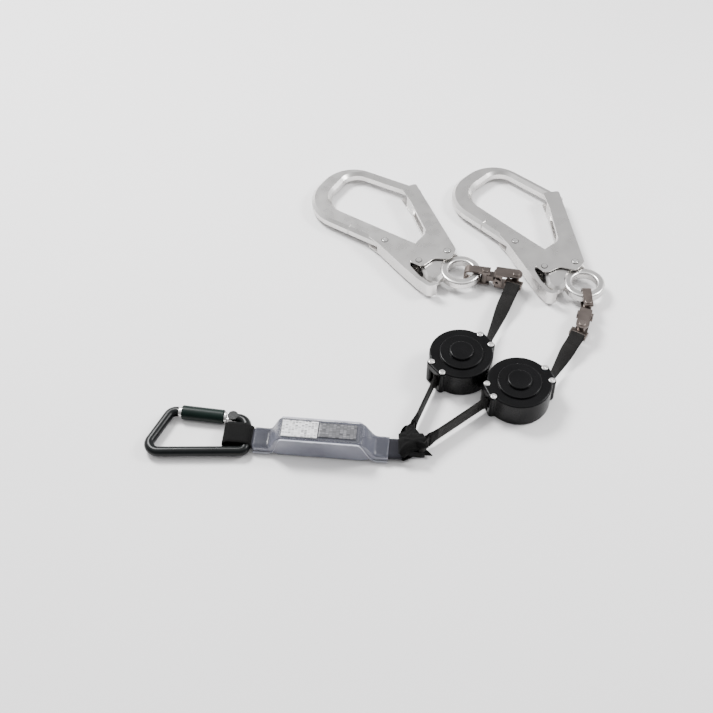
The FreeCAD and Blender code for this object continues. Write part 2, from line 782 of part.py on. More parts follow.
def loop_wall(inner, outer):
    wall = in_side_view(loop_profile(outer), *LOOP_Y)
    return wall.cut(in_side_view(loop_profile(inner), LOOP_Y[0] - 1, LOOP_Y[1] + 1))


def joint_loop():
    """The rear webbing end, folded over into a block with two upright bights for the legs."""
    turn = ABSORBER_TURN
    z0, z1 = STRAP_Z - LEG_WIDTH / 2 - 0.3, STRAP_Z + LEG_WIDTH / 2 + 0.3
    tail = placed(block(80.0, 86.0, -12.5, 10.5, 3.5, 15.5), ABSORBER_AT, turn)
    spine = plate([(46, -132), (49, -132), (58.5, -126.5, 3), (50, -121, 2), (46, -117)], z0, z1)
    flaps = []
    for low, high in ((z0 - 1.9, z0), (z1, z1 + 1.9)):
        points = [
            (47, -119, 3),
            (51.5, -109, 4),
            (60, -110, 4),
            (65.5, -119.5, 3),
            (73, -125, 4),
            (70.5, -134.5, 5),
            (47, -133.5, 3),
        ]
        flaps.append(plate(points, low, high))
    posts = [cylinder(3.2, z0, z1, LEG_POSTS[n]) for n in (1, 2)]
    return fused([tail, spine] + flaps + posts)


def absorber():
    def put(name, shape):
        save(name, [placed(shape, ABSORBER_AT, ABSORBER_TURN)])

    far = (COVER_ENDS[0] - 1, COVER_ENDS[1] + 1)
    cover = absorber_skin(0.0, COVER_ENDS).cut(absorber_skin(COVER_WALL, far))
    put("absorber_cover", cover)
    pack = block(-40.5, 40.5, -12.2, 12.2, 1.6, PACK_TALL - 1.6)
    tails = [
        block(LOOP_X[1] + 1.6, -40, -12.2, 12.2, 6.0, 9.0),
        block(40, 80, -12.2, 12.2, 6.0, 9.0),
    ]
    put("absorber_webbing", fused([pack] + tails))
    put("absorber_front_loop", loop_wall(0.0, 0.9))
    put("absorber_loop_guard", loop_wall(0.9, 1.5))
    label = block(-38, -1, -10.5, 8.5, PACK_TALL, PACK_TALL + 0.3)
    put("absorber_label", label)
    save("joint_loop", [joint_loop()])


for number in (1, 2):
    reel(number)
    retracting_strap(number)
    leg(number)
    connector(number)
    hook(number)
carabiner()
absorber()
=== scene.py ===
import json
import math

import bmesh
import bpy
from mathutils import Matrix, Vector, noise


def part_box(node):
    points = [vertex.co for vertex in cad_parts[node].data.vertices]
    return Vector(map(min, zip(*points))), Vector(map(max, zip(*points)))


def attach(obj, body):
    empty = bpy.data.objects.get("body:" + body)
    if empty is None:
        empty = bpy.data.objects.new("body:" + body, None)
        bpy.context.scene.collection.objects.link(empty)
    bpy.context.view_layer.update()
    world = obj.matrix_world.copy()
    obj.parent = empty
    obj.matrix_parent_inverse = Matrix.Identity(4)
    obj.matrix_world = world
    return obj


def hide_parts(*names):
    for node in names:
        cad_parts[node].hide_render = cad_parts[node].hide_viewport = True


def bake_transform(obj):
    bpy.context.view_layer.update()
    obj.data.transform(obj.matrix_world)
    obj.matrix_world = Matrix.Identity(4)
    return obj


# A twin-leg self-retracting lanyard on a pale floor: the metal and plastic pieces are the
# CAD's own, with materials, and all webbing, the absorber's film and its label are made here.

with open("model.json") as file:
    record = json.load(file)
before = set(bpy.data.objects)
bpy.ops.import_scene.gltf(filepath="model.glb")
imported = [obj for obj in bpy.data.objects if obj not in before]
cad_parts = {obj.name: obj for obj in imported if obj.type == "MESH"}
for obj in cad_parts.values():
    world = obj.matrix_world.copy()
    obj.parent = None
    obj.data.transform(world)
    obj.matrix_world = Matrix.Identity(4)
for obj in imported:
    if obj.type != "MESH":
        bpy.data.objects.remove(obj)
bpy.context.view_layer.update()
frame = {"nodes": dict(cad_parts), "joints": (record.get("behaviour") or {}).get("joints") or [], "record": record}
MM = 0.001
UP = Vector((0, 0, 1))
JOINTS = {joint["name"]: joint for joint in frame["joints"]}

# ---- camera ----
LOOK_AT = Vector((-0.0331, -0.0778, 0.0))
CAMERA_DISTANCE = 1.32
CAMERA_ELEVATION = math.radians(49.87)
LENS_MM = 60.6

# ---- webbing, in metres ----
STRAP_WIDTH = 16 * MM
STRAP_THICK = 1.15 * MM
LEG_WIDTH = 17 * MM
LEG_THICK = 1.15 * MM
LEG_GAP = 0.61 * MM
COIL_R = 23.1 * MM
MOUTH_REACH = 33.5 * MM
BAR_EYE_R = 2.62 * MM
POST_EYE_R = 4.1 * MM
PIN_EYE_R = 3.2 * MM
STITCH_RISE = 0.32 * MM
THREAD_R = 0.26 * MM
KEEPER_WALL = 0.9 * MM
FLAP_WALL = 1.1 * MM

# ---- a strap's quarter turn: degrees before the mouth, degrees after it, and where it ends ----
ROLL_BEFORE_MOUTH = 8
ROLL_AFTER_MOUTH = 82
ROLL_END = 0.8

# ---- shock absorber, along its own +X about its cover's middle: in mm where MM is not named ----
ABSORBER_TURN = math.radians(-5.3)
COVER_HALF = 69.6 * MM
PACK_REACH = 40.5
LEFT_SLOPE = (-54.5, -41.5)
RIGHT_SLOPE = (40.5, 58.0)
TAIL_MID_Z = 7.5
TAIL_WIDTH = 24.2 * MM
TAIL_THICK = 5.0 * MM
LOOP_BEND_X = -94.8
LOOP_BEND_R = 5.95
LOOP_SHIFT = 1.4 * MM
FILM_WALL = 0.35 * MM
SHEET_WALL = 0.14 * MM
SECTION_STEP = 1.45

# ---- hook rivets, in mm: along the hook from its ring, across it, head radius, face level ----
HOOK_GATE_RIVET = (26.0, -14.0)
HOOK_RIVETS = ((26.0, -14.0, 3.6, 9.95), (46.0, 17.0, 3.2, 9.95), (98.0, 8.0, 3.4, 8.55))
HOOK_LEVER_FROM_GATE = (72.0, 22.0)
SHADE_RING_SIDES = 28

# ---- widths of the softened edges on moulded and pressed pieces, in mm ----
ROUNDED = {"reel_plastic": 0.7, "connector_steel": 0.35}


def studio_world():
    """A bright room that is dimmer behind the object, where flat tops would mirror it."""
    world = bpy.data.worlds.new("studio")
    world.use_nodes = True
    tree = world.node_tree
    place = tree.nodes.new("ShaderNodeTexCoord")
    toward = tree.nodes.new("ShaderNodeVectorMath")
    toward.operation = "DOT_PRODUCT"
    toward.inputs[1].default_value = (0.0, 0.72, 0.69)
    tree.links.new(place.outputs["Generated"], toward.inputs[0])
    ramp = tree.nodes.new("ShaderNodeValToRGB")
    stops = ((0.0, 0.22), (0.25, 0.62), (0.55, 1.1), (0.78, 0.95), (1.0, 0.36))
    ramp.color_ramp.elements[0].position = stops[0][0]
    ramp.color_ramp.elements[0].color = (stops[0][1], stops[0][1], stops[0][1], 1)
    ramp.color_ramp.elements[1].position = stops[-1][0]
    ramp.color_ramp.elements[1].color = (stops[-1][1], stops[-1][1], stops[-1][1] * 1.01, 1)
    for position, level in stops[1:-1]:
        ramp.color_ramp.elements.new(position).color = (level, level, level * 1.01, 1)
    tree.links.new(toward.outputs["Value"], ramp.inputs["Fac"])
    tree.links.new(ramp.outputs["Color"], tree.nodes["Background"].inputs["Color"])
    tree.nodes["Background"].inputs["Strength"].default_value = 1.75
    bpy.context.scene.world = world


def camera_and_light():
    """The photograph's viewpoint, a key light from the left and a weak fill from the right."""
    camera = bpy.data.cameras.new("camera")
    camera.lens = LENS_MM
    camera.sensor_width = 36
    holder = bpy.data.objects.new("camera", camera)
    away = Vector((0, -math.cos(CAMERA_ELEVATION), math.sin(CAMERA_ELEVATION)))
    holder.location = LOOK_AT + away * CAMERA_DISTANCE
    holder.rotation_euler = (-away).to_track_quat("-Z", "Y").to_euler()
    bpy.context.collection.objects.link(holder)
    bpy.context.scene.camera = holder
    studio_world()
    for name, spot, size, power in (
        ("key_light", (-0.75, 0.75, 1.45), 0.55, 66.0),
        ("fill_light", (1.0, 0.15, 0.95), 0.35, 16.0),
    ):
        light = bpy.data.lights.new(name, "AREA")
        light.size = size
        light.energy = power
        lamp = bpy.data.objects.new(name, light)
        lamp.location = spot
        lamp.rotation_euler = (Vector((0, 0, 0)) - Vector(spot)).to_track_quat("-Z", "Y").to_euler()
        bpy.context.collection.objects.link(lamp)


# ---- materials ----
class Nodes:
    """A material's node tree, with short calls to add and join nodes."""

    def __init__(self, name):
        self.material = bpy.data.materials.new(name)
        self.material.use_nodes = True
        self.tree = self.material.node_tree
        self.shader = self.tree.nodes["Principled BSDF"]

    def add(self, kind, **values):
        node = self.tree.nodes.new("ShaderNode" + kind)
        for key, value in values.items():
            if key in node.inputs:
                node.inputs[key].default_value = value
            else:
                setattr(node, key, value)
        return node

    def join(self, out, into):
        self.tree.links.new(out, into)

    def set(self, **values):
        for key, value in values.items():
            self.shader.inputs[key.replace("_", " ")].default_value = value

    def noise(self, scale, detail=3.0, space="Object"):
        place = self.add("TexCoord")
        texture = self.add("TexNoise", Scale=scale, Detail=detail)
        self.join(place.outputs[space], texture.inputs["Vector"])
        return texture.outputs["Fac"]

    def ramp(self, source, stops):
        ramp = self.add("ValToRGB")
        ramp.color_ramp.elements[0].position = stops[0][0]
        ramp.color_ramp.elements[0].color = (*stops[0][1], 1)
        ramp.color_ramp.elements[1].position = stops[-1][0]
        ramp.color_ramp.elements[1].color = (*stops[-1][1], 1)
        for position, colour in stops[1:-1]:
            ramp.color_ramp.elements.new(position).color = (*colour, 1)
        self.join(source, ramp.inputs["Fac"])
        return ramp.outputs["Color"]

    def spread(self, source, low, high):
        span = self.add("MapRange")
        span.inputs["To Min"].default_value = low
        span.inputs["To Max"].default_value = high
        self.join(source, span.inputs["Value"])
        return span.outputs["Result"]

    def maths(self, operation, a, b=0.0):
        node = self.add("Math", operation=operation)
        for socket, value in zip(node.inputs, (a, b)):
            if isinstance(value, (int, float)):
                socket.default_value = value
            else:
                self.join(value, socket)
        return node.outputs["Value"]

    def bump(self, height, depth, strength=1.0, under=None):
        node = self.add("Bump", Strength=strength, Distance=depth)
        self.join(height, node.inputs["Height"])
        if under is not None:
            self.join(under, node.inputs["Normal"])
        self.join(node.outputs["Normal"], self.shader.inputs["Normal"])
        return node.outputs["Normal"]


def shade(colour, factor):
    """The colour made darker or lighter by a factor."""
    return tuple(min(1.0, c * factor) for c in colour)


def metal(name, colour, rough, grain=900.0, wear=0.12):
    """Worked metal: a fine grain, soft blotches in tone and gloss, and shallow dents."""
    m = Nodes(name)
    m.set(Metallic=1.0)
    blotch = m.noise(38.0, 4.0)
    tone = m.ramp(blotch, [(0.3, shade(colour, 1 - wear)), (0.62, colour), (0.8, shade(colour, 1.06))])
    m.join(tone, m.shader.inputs["Base Color"])
    m.join(m.spread(m.noise(70.0, 3.0), rough - 0.05, rough + 0.08), m.shader.inputs["Roughness"])
    fine = m.bump(m.noise(grain, 2.0), 0.00005, 0.3)
    m.bump(m.noise(26.0, 2.0), 0.0004, 0.12, fine)
    return m.material


def plastic(name, colour, rough, grain=1600.0, specular=0.5):
    """Moulded plastic: a fine leather-like grain, and rubbed patches that are a little glossier."""
    m = Nodes(name)
    m.set(Specular_IOR_Level=specular)
    rubbed = m.noise(30.0, 5.0)
    m.join(m.ramp(rubbed, [(0.35, colour), (0.75, shade(colour, 1.7))]), m.shader.inputs["Base Color"])
    m.join(m.spread(m.noise(75.0, 4.0), rough + 0.07, rough - 0.08), m.shader.inputs["Roughness"])
    m.bump(m.noise(grain, 2.0), 0.00005, 0.25)
    return m.material


def webbing(name, colour, pitch=1.25 * MM, sheen=0.03):
    """Woven polyester: yarns in a herringbone of ribs, from the piece's own lengthwise map."""
    m = Nodes(name)
    place = m.add("UVMap")
    parts = m.add("SeparateXYZ")
    m.join(place.outputs["UV"], parts.inputs["Vector"])
    across, length = parts.outputs["X"], parts.outputs["Y"]
    turn = 2 * math.pi / pitch
    column = m.maths("SINE", m.maths("MULTIPLY", across, turn))
    lean = m.maths("MULTIPLY", m.maths("SIGN", column), m.maths("MULTIPLY", across, turn * 0.55))
    rib = m.maths("SINE", m.maths("ADD", m.maths("MULTIPLY", length, turn * 1.35), lean))
    ridge = m.maths("MULTIPLY", m.maths("ABSOLUTE", column), 0.6)
    yarn = m.maths("ADD", ridge, m.maths("MULTIPLY", rib, 0.4))
    worn = m.noise(60.0, 5.0)
    height = m.maths("ADD", yarn, m.maths("MULTIPLY", m.noise(2600.0, 2.0), 0.25))
    tone = m.maths("ADD", m.maths("MULTIPLY", yarn, 0.45), m.maths("MULTIPLY", worn, 0.55))
    stops = [(0.1, shade(colour, 0.45)), (0.5, colour), (0.9, shade(colour, 1.9))]
    m.join(m.ramp(tone, stops), m.shader.inputs["Base Color"])
    m.join(m.spread(worn, 0.72, 0.92), m.shader.inputs["Roughness"])
    m.set(Sheen_Weight=sheen, Sheen_Roughness=0.45, Specular_IOR_Level=0.12)
    m.bump(height, 0.00022, 0.9)
    return m.material


def film():
    """Smoky shrink film: clear on its flat top and tails, milky lavender on walls and slopes."""
    m = Nodes("shrink_film")
    haze = m.noise(24.0, 4.0)
    tone = m.ramp(haze, [(0.3, (0.155, 0.16, 0.20)), (0.7, (0.215, 0.22, 0.27))])
    m.join(tone, m.shader.inputs["Base Color"])
    facing = m.add("NewGeometry")
    parts = m.add("SeparateXYZ")
    m.join(facing.outputs["Normal"], parts.inputs["Vector"])
    slope = m.maths("SUBTRACT", 1.0, m.maths("ABSOLUTE", parts.outputs["Z"]))
    cloud = m.maths("MULTIPLY", m.maths("SUBTRACT", m.noise(45.0, 4.0), 0.5), 0.35)
    m.join(m.spread(m.maths("ADD", slope, cloud), 0.10, 0.86), m.shader.inputs["Alpha"])
    m.join(m.spread(m.noise(90.0, 3.0), 0.14, 0.28), m.shader.inputs["Roughness"])
    m.set(Coat_Weight=0.4, Coat_Roughness=0.1)
    m.bump(m.noise(70.0, 3.0), 0.0005, 0.35)
    return m.material


def seal_and_highlight_film():
    """The film's heat-sealed edge: two layers thick, and paler partly for that and partly as a painted highlight
    along the pack's edges.
    """
    m = Nodes("seal_and_highlight_film")
    tone = m.ramp(m.noise(60.0, 4.0), [(0.3, (0.34, 0.345, 0.40)), (0.7, (0.50, 0.505, 0.56))])
    m.join(tone, m.shader.inputs["Base Color"])
    m.join(m.spread(m.noise(140.0, 3.0), 0.12, 0.3), m.shader.inputs["Roughness"])
    m.join(m.spread(m.noise(50.0, 3.0), 0.75, 1.0), m.shader.inputs["Alpha"])
    m.bump(m.noise(500.0, 2.0), 0.0002, 0.5)
    return m.material


def ruled_form(name, paper, shadow, rule, size, line, rough):
    """A printed film with an empty ruled form and faint grey cells: no lettering."""
    m = Nodes(name)
    place = m.add("UVMap")
    rows = m.add("TexBrick")
    rows.offset = 0.0
    rows.inputs["Color1"].default_value = (*paper, 1)
    rows.inputs["Color2"].default_value = (*shadow, 1)
    rows.inputs["Mortar"].default_value = (*rule, 1)
    rows.inputs["Scale"].default_value = 1.0
    rows.inputs["Mortar Size"].default_value = line
    rows.inputs["Mortar Smooth"].default_value = 0.5
    rows.inputs["Bias"].default_value = 0.0
    rows.inputs["Brick Width"].default_value = size[0]
    rows.inputs["Row Height"].default_value = size[1]
    m.join(place.outputs["UV"], rows.inputs["Vector"])
    m.join(rows.outputs["Color"], m.shader.inputs["Base Color"])
    m.join(m.spread(m.noise(200.0, 3.0), rough, rough + 0.14), m.shader.inputs["Roughness"])
    m.bump(m.noise(120.0, 3.0), 0.0002, 0.3)
    return m.material


def pack_facing_tone():
    """The folded pack inside the film: dark on top and pale lavender grey down its sides, set by which way each
    face points.
    """
    m = Nodes("pack_facing_tone")
    facing = m.add("NewGeometry")
    parts = m.add("SeparateXYZ")
    m.join(facing.outputs["Normal"], parts.inputs["Vector"])
    lift = m.maths("ADD", parts.outputs["Z"], m.maths("MULTIPLY", m.noise(60.0, 4.0), 0.12))
    stops = [(0.0, (0.15, 0.153, 0.19)), (0.45, (0.17, 0.173, 0.215)), (0.75, (0.014, 0.015, 0.018))]
    m.join(m.ramp(lift, stops), m.shader.inputs["Base Color"])
    m.join(m.spread(m.noise(150.0, 3.0), 0.5, 0.75), m.shader.inputs["Roughness"])
    m.bump(m.noise(300.0, 3.0), 0.0004, 0.5)
    return m.material


def floor_paper():
    """Matt background paper with a barely uneven tone."""
    m = Nodes("floor_paper")
    tone = m.ramp(m.noise(3.0, 2.0), [(0.3, (0.765, 0.757, 0.757)), (0.7, (0.785, 0.777, 0.777))])
    m.join(tone, m.shader.inputs["Base Color"])
    m.join(m.spread(m.noise(12.0, 2.0), 0.75, 0.85), m.shader.inputs["Roughness"])
    m.bump(m.noise(900.0, 2.0), 0.00005, 0.2)
    return m.material


# ---- mesh helpers ----
def finish_mesh(name, bm, material, body, replaces=()):
    """Make the object, parent it to the body it rides on, and hide the CAD nodes it stands for."""
    bmesh.ops.recalc_face_normals(bm, faces=bm.faces)
    mesh = bpy.data.meshes.new(name)
    bm.to_mesh(mesh)
    bm.free()
    for polygon in mesh.polygons:
        polygon.use_smooth = True
    piece = bpy.data.objects.new(name, mesh)
    piece.data.materials.append(material)
    bpy.context.collection.objects.link(piece)
    if body:
        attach(piece, body)
    if replaces:
        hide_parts(*replaces)
    return piece


def ribbon_mesh(frames, width, thick, closed=False, gather=0.0):
    """A flat woven strip through frames of (centre, across, normal), with soft selvedges.

    Gather draws the last quarter of the strip's length together by that share of its width.
    """
    bm = bmesh.new()
    uv = bm.loops.layers.uv.new("UVMap")
    columns = 8
    rings, lengths, run = [], [], 0.0
    for i, (centre, across, normal) in enumerate(frames):
        if i:
            run += (centre - frames[i - 1][0]).length
        lengths.append(run)
        ring = []
        drawn = 1 - gather * smoothstep(0.72, 1.0, i / len(frames))
        for side in (1, -1):
            for c in range(columns + 1):
                share = c / columns if side > 0 else 1 - c / columns
                offset = (share - 0.5) * width * drawn
                at_edge = c in (0, columns)
                swell = 0.42 if at_edge else 1.0
                point = centre + across * offset + normal * (side * thick / 2 * swell)
                ring.append(bm.verts.new(point))
        rings.append(ring)
    size = len(rings[0])
    total = run + ((frames[0][0] - frames[-1][0]).length if closed else 0.0)
    pairs = list(zip(range(len(rings) - 1), range(1, len(rings))))
    if closed:
        pairs.append((len(rings) - 1, 0))
    for a, b in pairs:
        for k in range(size):
            n = (k + 1) % size
            face = bm.faces.new((rings[a][k], rings[a][n], rings[b][n], rings[b][k]))
            end = total if b == 0 else lengths[b]
            step = width / columns
            corners = ((k, lengths[a]), (k + 1, lengths[a]), (k + 1, end), (k, end))
            for loop, (u, v) in zip(face.loops, corners):
                loop[uv].uv = (u * step, v)
    if not closed:
        for ring in (rings[0], rings[-1]):
            face = bm.faces.new(ring)
            for loop in face.loops:
                loop[uv].uv = (0, 0)
    return bm


def smooth_line(points, step, closed=False):
    """Even points along a smooth curve through a few given ones."""
    count = len(points)
    dense = []
    for i in range(count if closed else count - 1):
        p0 = points[(i - 1) % count] if closed or i > 0 else points[0]
        p1, p2 = points[i], points[(i + 1) % count]
        p3 = points[(i + 2) % count] if closed or i + 2 < count else points[-1]
        for k in range(12):
            t = k / 12
            dense.append(
                0.5 * (2 * p1 + (p2 - p0) * t + (2 * p0 - 5 * p1 + 4 * p2 - p3) * t * t
                       + (3 * p1 - p0 - 3 * p2 + p3) * t ** 3)
            )
    if not closed:
        dense.append(points[-1])
    even, carry = [dense[0]], 0.0
    line = dense + ([dense[0]] if closed else [])
    for a, b in zip(line, line[1:]):
        length = (b - a).length
        while carry + length >= step:
            share = (step - carry) / length
            a = a + (b - a) * share
            length = (b - a).length
            even.append(a)
            carry = 0.0
        carry += length
    if not closed and (even[-1] - dense[-1]).length > step * 0.3:
        even.append(dense[-1])
    if closed and (even[-1] - even[0]).length < step * 0.4:
        even.pop()
    return even


def tangents(points, closed=False):
    """The line's direction at each of its points."""
    count = len(points)
    result = []
    for i in range(count):
        before = points[i - 1] if closed or i > 0 else points[0]
        after = points[(i + 1) % count] if closed or i + 1 < count else points[-1]
        result.append((after - before).normalized())
    return result


def frames_across(points, across, closed=False):
    """Frames for a strip whose width always lies along one direction."""
    return [(p, across, across.cross(t).normalized()) for p, t in zip(points, tangents(points, closed))]


def smoothstep(value, start, end):
    """A soft rise from 0 at start to 1 at end."""
    share = min(1.0, max(0.0, (value - start) / (end - start)))
    return share * share * (3 - 2 * share)


def rounded_section(half, low, high, corner, count=48):
    """Points round a rounded rectangle in (y, z), starting at the bottom middle."""
    power = 2.0 / max(2.0, 2.0 * min(half, (high - low) / 2) / corner)
    middle, tall = (low + high) / 2, (high - low) / 2
    points = []
    for k in range(count):
        angle = 2 * math.pi * k / count - math.pi / 2
        c, s = math.cos(angle), math.sin(angle)
        y = math.copysign(abs(c) ** power, c) * half
        points.append((y, middle + math.copysign(abs(s) ** power, s) * tall))
    return points


def joint_at(name):
    """Where a joint's axis passes."""
    return Vector(JOINTS[name]["pos_m"])


def flat(vector):
    """The vector's direction along the floor."""
    return Vector((vector.x, vector.y, 0)).normalized()


def turned(vector, angle):
    """The vector turned about the vertical."""
    return Matrix.Rotation(angle, 3, "Z") @ vector


def stitches(name, spots, along, across, normal, material, body, length=2.2 * MM):
    """A row of thread stitches: short raised arches of round thread."""
    bm = bmesh.new()
    for spot in spots:
        rings = []
        for k in range(7):
            share = k / 6
            lift = math.sin(share * math.pi) * STITCH_RISE
            centre = spot + along * (share - 0.5) * length + normal * lift
            ring = []
            for a in range(6):
                angle = a * math.pi / 3
                out = across * math.cos(angle) + normal * math.sin(angle)
                ring.append(bm.verts.new(centre + out * THREAD_R))
            rings.append(ring)
        for a, b in zip(rings, rings[1:]):
            for k in range(6):
                bm.faces.new((a[k], a[(k + 1) % 6], b[(k + 1) % 6], b[k]))
        bm.faces.new(rings[0])
        bm.faces.new(rings[-1])
    return finish_mesh(name, bm, material, body)


# ---- retracting straps ----
def retracting_strap(n, cloth, thread):
    """From the coil through the mouth to the connector's bar, rolled a quarter turn on the way."""
    centre = joint_at(f"drum_spin_{n}")
    pin = joint_at(f"reel_swing_{n}")
    bar = joint_at(f"holder_tilt_{n}")
    centre.z = pin.z = bar.z
    ear = flat(centre - pin)
    mouth = centre + ear * MOUTH_REACH
    run = flat(bar - mouth)
    side = UP.cross(run)
    leave = centre + turned(ear, -math.acos(COIL_R / MOUTH_REACH)) * COIL_R
    reach = (bar - mouth).dot(run)
    line = [leave, leave.lerp(mouth, 0.5), mouth - (mouth - leave).normalized() * 3 * MM]
    line += [mouth + run * (3 * MM), mouth + run * (reach * 0.3), mouth + run * (reach * 0.6)]
    line += [bar - run * (14 * MM) + UP * 0.7 * MM, bar - run * (6 * MM) + UP * 1.6 * MM]
    for k in range(9):
        angle = math.radians(100 - k * 25)
        line.append(bar + run * BAR_EYE_R * math.cos(angle) + UP * BAR_EYE_R * math.sin(angle))
    line += [bar - run * (back * MM) - UP * sink * MM for back, sink in ((6, 1.3), (13, 0.75), (20, 0.7))]
    points = smooth_line(line, 0.9 * MM)
    frames = []
    at_bar = False
    for point, tangent in zip(points, tangents(points)):
        share = (point - mouth).dot(run) / reach
        at_bar = at_bar or share > ROLL_END
        leaving = smoothstep(share, -0.2, 0.04)
        twist = 1.0 if at_bar else min(1.0, max(0.0, share / ROLL_END))
        roll = ROLL_BEFORE_MOUTH * leaving + ROLL_AFTER_MOUTH * (0.32 * twist + 0.68 * twist ** 2)
        roll = math.radians(roll)
        across = UP * math.cos(roll) + side * math.sin(roll)
        across = (across - tangent * across.dot(tangent)).normalized()
        frames.append((point, across, across.cross(tangent).normalized()))
    bm = ribbon_mesh(frames, STRAP_WIDTH, STRAP_THICK)
    strap = finish_mesh(f"strap_webbing_{n}", bm, cloth, None, (f"strap_{n}",))
    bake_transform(strap)
    for row, level in enumerate((9.0, 12.0, 15.0)):
        base = bar - run * (level * MM) + UP * 1.3 * MM
        spots = [base + side * (k * 2.0 * MM) for k in range(-3, 4)]
        stitches(f"strap_{n}_stitches_{row}", spots, side, run, UP, thread, f"strap_{n}", 1.6 * MM)


# ---- legs ----
def leg(n, cloth, band_cloth, thread):
    """A loop of doubled webbing from the joint's post to the reel's pin, with its keeper sleeve."""
    post = joint_at(f"leg_swing_{n}")
    pin = joint_at(f"reel_swing_{n}")
    along = flat(pin - post)
    side = UP.cross(along)
    length = (pin - post).length

    def spot(x, y):
        return post + along * x + side * y

    line = []
    for k in range(7):
        angle = math.radians(115 - k * 230 / 6)
        line.append(spot(length + PIN_EYE_R * math.cos(angle), PIN_EYE_R * math.sin(angle)))
    line += [spot(length - 8 * MM, -0.9 * MM), spot(length - 14 * MM, -LEG_GAP)]
    line += [spot(length * 0.5, -LEG_GAP), spot(15 * MM, -LEG_GAP), spot(9.5 * MM, -1.0 * MM)]
    for k in range(7):
        angle = math.radians(-65 - k * 230 / 6)
        line.append(spot(POST_EYE_R * math.cos(angle), POST_EYE_R * math.sin(angle)))
    line += [spot(9.5 * MM, 1.0 * MM), spot(15 * MM, LEG_GAP), spot(length * 0.5, LEG_GAP)]
    line += [spot(length - 14 * MM, LEG_GAP), spot(length - 8 * MM, 0.9 * MM)]
    points = smooth_line(line, 1.1 * MM, closed=True)
    bm = ribbon_mesh(frames_across(points, UP, True), LEG_WIDTH, LEG_THICK, closed=True)
    finish_mesh(f"leg_webbing_{n}", bm, cloth, f"leg_{n}", (f"leg_{n}",))
    # the keeper sleeve, in mm: distance from the post, half its thickness, half its height
    taper = (
        (9.3, 3.0, 9.5),
        (11.0, 2.9, 9.45),
        (14.0, 2.4, 9.3),
        (17.0, 2.0, 9.2),
        (20.0, 1.8, 9.15),
        (21.3, 1.75, 9.1),
    )
    bm = bmesh.new()
    uv = bm.loops.layers.uv.new("UVMap")
    rings = []
    for x, half_y, half_z in taper:
        ring = []
        for y, z in rounded_section(half_y, -half_z, half_z, 1.3, 40):
            crease = 0.22 * noise.noise(Vector((x * 0.5, z * 0.5, n * 3 + y)))
            ring.append(bm.verts.new(spot(x * MM, (y + crease) * MM) + UP * z * MM))
        rings.append(ring)
    for i in range(len(rings) - 1):
        for k in range(40):
            k2 = (k + 1) % 40
            face = bm.faces.new((rings[i][k], rings[i][k2], rings[i + 1][k2], rings[i + 1][k]))
            for loop, (u, v) in zip(face.loops, ((k, i), (k + 1, i), (k + 1, i + 1), (k, i + 1))):
                loop[uv].uv = (v * 2.4 * MM, u * 1.1 * MM)
    band = finish_mesh(f"keeper_band_{n}", bm, band_cloth, f"leg_{n}", (f"keeper_{n}",))
    wall = band.modifiers.new("wall", "SOLIDIFY")
    wall.thickness = KEEPER_WALL
    wall.offset = -1
    for row, reach in enumerate((length - 11 * MM, length - 14 * MM, length - 17 * MM)):
        for face in (1, -1):
            spots = [spot(reach, face * 1.25 * MM) + UP * (k * 2.1 * MM) for k in range(-3, 4)]
            name = f"leg_{n}_stitches_{row}_{'a' if face > 0 else 'b'}"
            stitches(name, spots, UP, along, side * face, thread, f"leg_{n}", 1.7 * MM)


# ---- shock absorber ----
def absorber_place():
    """The absorber's own axes: its middle on the floor, and its turn."""
    low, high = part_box("absorber_cover")
    middle = (Vector(low) + Vector(high)) / 2
    return Matrix.Translation((middle.x, middle.y, 0)) @ Matrix.Rotation(ABSORBER_TURN, 4, "Z")


def thickness_share(x):
    """How full the cover is at x: 0 along its flat tails, 1 over the pack."""
    return smoothstep(x, *LEFT_SLOPE) * (1 - smoothstep(x, *RIGHT_SLOPE))


def cover_section(x):
    """Half width, lowest and highest z of the cover at x, in mm."""
    share = thickness_share(x)
    half = 13.5 + 0.5 * share - 0.4 * math.exp(-((abs(x) - 49) / 5) ** 2)
    return half, 3.0 - 2.9 * share, 12.0 + 17.8 * share


def lofted(sections, place, capped):
    """A skin through rings of (y, z) points at given x, closed at its ends when capped."""
    bm = bmesh.new()
    rings = []
    for x, ring in sections:
        rings.append([bm.verts.new(place @ Vector((x * MM, y * MM, z * MM))) for y, z in ring])
    for a, b in zip(rings, rings[1:]):
        for k in range(len(a)):
            n = (k + 1) % len(a)
            bm.faces.new((a[k], a[n], b[n], b[k]))
    if capped:
        bm.faces.new(rings[0])
        bm.faces.new(rings[-1])
    return bm


def absorber_film(place, material):
    """The shrunk film: rippled all over, and pleated where it closes down on the tails."""
    sections = []
    x = -COVER_HALF / MM
    while x <= COVER_HALF / MM + 0.01:
        half, low, high = cover_section(x)
        near_tail = 1 - thickness_share(x)
        ring = []
        for y, z in rounded_section(half, low, high, 2.4):
            ripple = noise.noise(Vector((x * 0.11, y * 0.16, z * 0.16)))
            pleat = noise.noise(Vector((x * 0.05, y * 0.55, z * 0.55 + 9)))
            shrink = 0.22 * ripple + 0.38 * near_tail * pleat
            ring.append((y - math.copysign(min(abs(y), abs(shrink)), y), max(0.05, z - abs(shrink) * 0.6)))
        sections.append((x, ring))
        x += SECTION_STEP
    bm = lofted(sections, place, False)
    piece = finish_mesh("absorber_film", bm, material, "root", ("absorber_cover",))
    wall = piece.modifiers.new("wall", "SOLIDIFY")
    wall.thickness = FILM_WALL
    wall.offset = -1
    return piece


